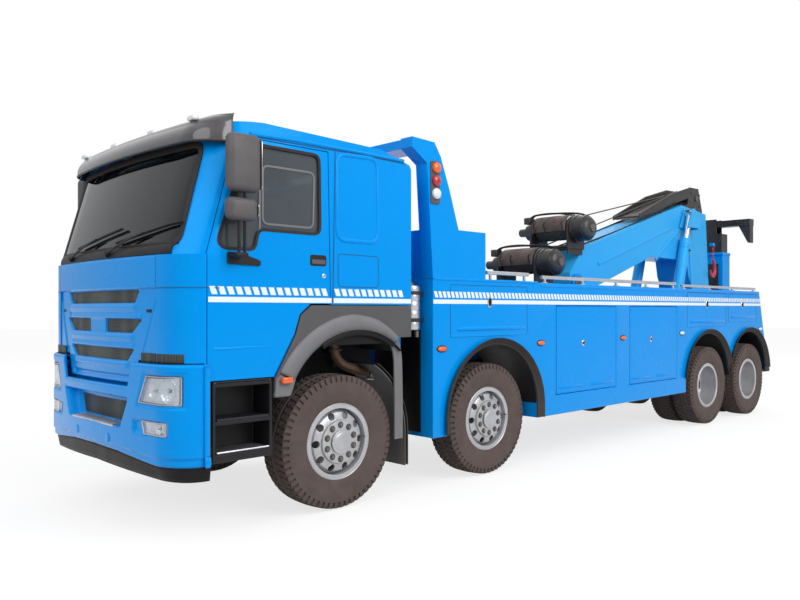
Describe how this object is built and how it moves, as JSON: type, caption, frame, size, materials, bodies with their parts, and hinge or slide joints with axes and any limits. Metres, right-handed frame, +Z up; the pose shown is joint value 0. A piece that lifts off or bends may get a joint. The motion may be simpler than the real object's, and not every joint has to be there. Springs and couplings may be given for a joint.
{
  "type": "tow truck",
  "caption": "Heavy tow truck with a cab, locker bodies, a lifting telescopic boom, winches and a folding underlift.",
  "frame": {"origin": "middle of the bounding box on the ground under the tyres", "axes": "+X rearward, +Y to the vehicle's right side, +Z up"},
  "size_m": [10.67, 2.826, 3.608],
  "materials": {
    "paint_blue": "gloss",
    "chassis_black": "satin",
    "cast_iron": "rough",
    "wheel_silver": "satin",
    "tyre_rubber": "matte",
    "trim_plastic": "matte",
    "visor_plastic": "gloss",
    "interior": "matte",
    "clear_glass": "clear",
    "lamp_glass": "clear",
    "winch_black": "satin",
    "stainless": "brushed",
    "chrome_rod": "polished",
    "grey_metal": "satin"
  },
  "bodies": {
    "truck": {"chassis_frame": "chassis_black", "axles": "chassis_black", "engine": "cast_iron", "drive_line": "chassis_black", "front_bumper": "paint_blue", "head_lamps": "lamp_glass", "cab_shell": "paint_blue", "windscreen": "clear_glass", "sun_visor": "visor_plastic", "cab_interior": "interior", "mudguards": "trim_plastic", "cab_steps": "trim_plastic", "air_canister": "grey_metal", "locker_bodies": "paint_blue", "body_deck": "paint_blue", "gantry": "paint_blue", "body_rails": "stainless", "deck_winch": "winch_black"},
    "left_door": {"left_door": "paint_blue", "left_door_glass": "clear_glass", "left_mirror": "trim_plastic"},
    "right_door": {"right_door": "paint_blue", "right_door_glass": "clear_glass", "right_mirror": "trim_plastic"},
    "front_lid": {"front_lid": "paint_blue"},
    "left_locker_door_1": {"left_locker_door_1": "paint_blue"},
    "left_locker_door_2": {"left_locker_door_2": "paint_blue"},
    "right_locker_door_1": {"right_locker_door_1": "paint_blue"},
    "right_locker_door_2": {"right_locker_door_2": "paint_blue"},
    "left_knuckle_1": {"left_knuckle_1": "cast_iron"},
    "right_knuckle_1": {"right_knuckle_1": "cast_iron"},
    "left_knuckle_2": {"left_knuckle_2": "cast_iron"},
    "right_knuckle_2": {"right_knuckle_2": "cast_iron"},
    "left_wheel_1": {"left_wheel_1": "wheel_silver", "left_tyre_1": "tyre_rubber"},
    "right_wheel_1": {"right_wheel_1": "wheel_silver", "right_tyre_1": "tyre_rubber"},
    "left_wheel_2": {"left_wheel_2": "wheel_silver", "left_tyre_2": "tyre_rubber"},
    "right_wheel_2": {"right_wheel_2": "wheel_silver", "right_tyre_2": "tyre_rubber"},
    "left_wheels_3": {"left_wheels_3": "wheel_silver", "left_tyres_3": "tyre_rubber"},
    "right_wheels_3": {"right_wheels_3": "wheel_silver", "right_tyres_3": "tyre_rubber"},
    "left_wheels_4": {"left_wheels_4": "wheel_silver", "left_tyres_4": "tyre_rubber"},
    "right_wheels_4": {"right_wheels_4": "wheel_silver", "right_tyres_4": "tyre_rubber"},
    "boom": {"boom": "paint_blue", "boom_winch": "winch_black"},
    "boom_extension": {"boom_extension": "winch_black"},
    "boom_winch_drum": {"boom_winch_drum": "winch_black"},
    "deck_winch_drum": {"deck_winch_drum": "winch_black"},
    "lift_barrels": {"lift_barrels": "paint_blue"},
    "lift_rods": {"lift_rods": "chrome_rod"},
    "underlift_arm": {"underlift_arm": "paint_blue"},
    "underlift_extension": {"underlift_extension": "winch_black"},
    "crossbar": {"crossbar": "winch_black"}
  },
  "joints": [
    {"name": "left_steering_1", "type": "hinge", "parent": "truck", "child": "left_knuckle_1", "pos_m": [-3.835, -0.88, 0.5425], "axis": [0, 0, 1], "range_deg": [-32, 32]},
    {"name": "right_steering_1", "type": "hinge", "parent": "truck", "child": "right_knuckle_1", "pos_m": [-3.835, 0.88, 0.5425], "axis": [0, 0, 1], "range_deg": [-32, 32]},
    {"name": "left_steering_2", "type": "hinge", "parent": "truck", "child": "left_knuckle_2", "pos_m": [-2.035, -0.88, 0.5425], "axis": [0, 0, 1], "range_deg": [-24, 24]},
    {"name": "right_steering_2", "type": "hinge", "parent": "truck", "child": "right_knuckle_2", "pos_m": [-2.035, 0.88, 0.5425], "axis": [0, 0, 1], "range_deg": [-24, 24]},
    {"name": "left_wheel_1_spin", "type": "hinge", "parent": "left_knuckle_1", "child": "left_wheel_1", "pos_m": [-3.835, -1.011, 0.5425], "axis": [0, 1, 0], "continuous": true},
    {"name": "right_wheel_1_spin", "type": "hinge", "parent": "right_knuckle_1", "child": "right_wheel_1", "pos_m": [-3.835, 1.011, 0.5425], "axis": [0, 1, 0], "continuous": true},
    {"name": "left_wheel_2_spin", "type": "hinge", "parent": "left_knuckle_2", "child": "left_wheel_2", "pos_m": [-2.035, -1.011, 0.5425], "axis": [0, 1, 0], "continuous": true},
    {"name": "right_wheel_2_spin", "type": "hinge", "parent": "right_knuckle_2", "child": "right_wheel_2", "pos_m": [-2.035, 1.011, 0.5425], "axis": [0, 1, 0], "continuous": true},
    {"name": "left_wheels_3_spin", "type": "hinge", "parent": "truck", "child": "left_wheels_3", "pos_m": [2.515, -0.915, 0.5425], "axis": [0, 1, 0], "continuous": true},
    {"name": "right_wheels_3_spin", "type": "hinge", "parent": "truck", "child": "right_wheels_3", "pos_m": [2.515, 0.915, 0.5425], "axis": [0, 1, 0], "continuous": true},
    {"name": "left_wheels_4_spin", "type": "hinge", "parent": "truck", "child": "left_wheels_4", "pos_m": [3.865, -0.915, 0.5425], "axis": [0, 1, 0], "continuous": true},
    {"name": "right_wheels_4_spin", "type": "hinge", "parent": "truck", "child": "right_wheels_4", "pos_m": [3.865, 0.915, 0.5425], "axis": [0, 1, 0], "continuous": true},
    {"name": "left_door_hinge", "type": "hinge", "parent": "truck", "child": "left_door", "pos_m": [-5.031, -1.251, 1.9], "axis": [0, 0, -1], "range_deg": [0, 68]},
    {"name": "right_door_hinge", "type": "hinge", "parent": "truck", "child": "right_door", "pos_m": [-5.031, 1.251, 1.9], "axis": [0, 0, 1], "range_deg": [0, 68]},
    {"name": "front_lid_hinge", "type": "hinge", "parent": "truck", "child": "front_lid", "pos_m": [-5.298, 0, 1.985], "axis": [0, 1, 0], "range_deg": [0, 70]},
    {"name": "left_locker_1_hinge", "type": "hinge", "parent": "truck", "child": "left_locker_door_1", "pos_m": [-0.48, -1.251, 1.645], "axis": [-1, 0, 0], "range_deg": [0, 95]},
    {"name": "right_locker_1_hinge", "type": "hinge", "parent": "truck", "child": "right_locker_door_1", "pos_m": [-0.48, 1.251, 1.645], "axis": [1, 0, 0], "range_deg": [0, 95]},
    {"name": "left_locker_2_hinge", "type": "hinge", "parent": "truck", "child": "left_locker_door_2", "pos_m": [0.99, -1.251, 1.645], "axis": [-1, 0, 0], "range_deg": [0, 95]},
    {"name": "right_locker_2_hinge", "type": "hinge", "parent": "truck", "child": "right_locker_door_2", "pos_m": [0.99, 1.251, 1.645], "axis": [1, 0, 0], "range_deg": [0, 95]},
    {"name": "boom_lift", "type": "hinge", "parent": "truck", "child": "boom", "pos_m": [0.665, 0, 1.96], "axis": [0, -1, 0], "range_deg": [0, 20]},
    {"name": "boom_slide", "type": "slide", "parent": "boom", "child": "boom_extension", "axis": [0.9527, 0, 0.304], "range_m": [0, 0.55]},
    {"name": "lift_swing", "type": "hinge", "parent": "truck", "child": "lift_barrels", "pos_m": [3.115, 0, 1.5], "axis": [0, -1, 0], "range_deg": [-1, 20]},
    {"name": "lift_stroke", "type": "slide", "parent": "lift_barrels", "child": "lift_rods", "axis": [0.3039, 0, 0.9527], "range_m": [0, 0.9]},
    {"name": "deck_winch_spin", "type": "hinge", "parent": "truck", "child": "deck_winch_drum", "pos_m": [-0.055, 0, 2.19], "axis": [0, 1, 0], "continuous": true},
    {"name": "boom_winch_spin", "type": "hinge", "parent": "boom", "child": "boom_winch_drum", "pos_m": [0.625, 0, 2.66], "axis": [0, 1, 0], "continuous": true},
    {"name": "underlift_fold", "type": "hinge", "parent": "boom", "child": "underlift_arm", "pos_m": [4.795, 0, 1], "axis": [0, 1, 0], "range_deg": [0, 90]},
    {"name": "underlift_slide", "type": "slide", "parent": "underlift_arm", "child": "underlift_extension", "axis": [0, 0, 1], "range_m": [0, 0.9]},
    {"name": "crossbar_pivot", "type": "hinge", "parent": "underlift_extension", "child": "crossbar", "pos_m": [5.19, 0, 3.095], "axis": [1, 0, 0], "range_deg": [-20, 20]}
  ],
  "couplings": [
    {"joint": "right_steering_1", "follows": "left_steering_1", "ratio": 1},
    {"joint": "left_steering_2", "follows": "left_steering_1", "ratio": 0.74},
    {"joint": "right_steering_2", "follows": "left_steering_1", "ratio": 0.74},
    {"joint": "lift_swing", "follows": "boom_lift", "ratio": 0.9506},
    {"joint": "lift_stroke", "follows": "boom_lift", "m_per_rad": 2.478}
  ]
}
